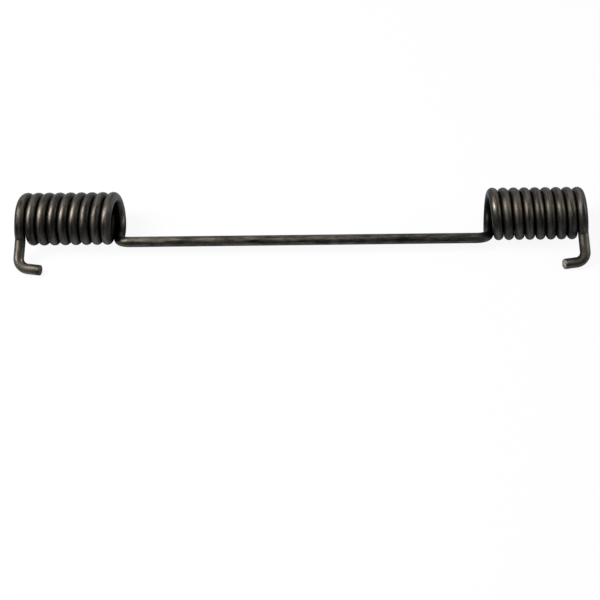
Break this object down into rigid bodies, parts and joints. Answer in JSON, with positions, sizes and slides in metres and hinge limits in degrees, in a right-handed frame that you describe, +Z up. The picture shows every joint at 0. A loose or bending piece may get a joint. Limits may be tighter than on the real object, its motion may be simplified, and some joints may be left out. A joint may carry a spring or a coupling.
{
  "type": "brake shoe spring",
  "caption": "Brake shoe return spring of round wire, with a coil at each end of a straight run and a short leg with an inward hook beyond each coil.",
  "frame": {"origin": "on the surface that the spring lies on, below the middle of the box that holds it, with the middle of the straight run at X = 0", "axes": "+X along the coils' common axis, -Y the way the legs and hooks point, +Z up as the spring lies on both coils and both hook ends"},
  "size_m": [0.2078, 0.0288, 0.0191],
  "materials": {
    "spring_steel": "hard-drawn spring wire, oil-darkened, with a dull sheen and rubbed spots"
  },
  "bodies": {
    "root": {"spring_wire": "spring_steel"}
  },
  "joints": []
}
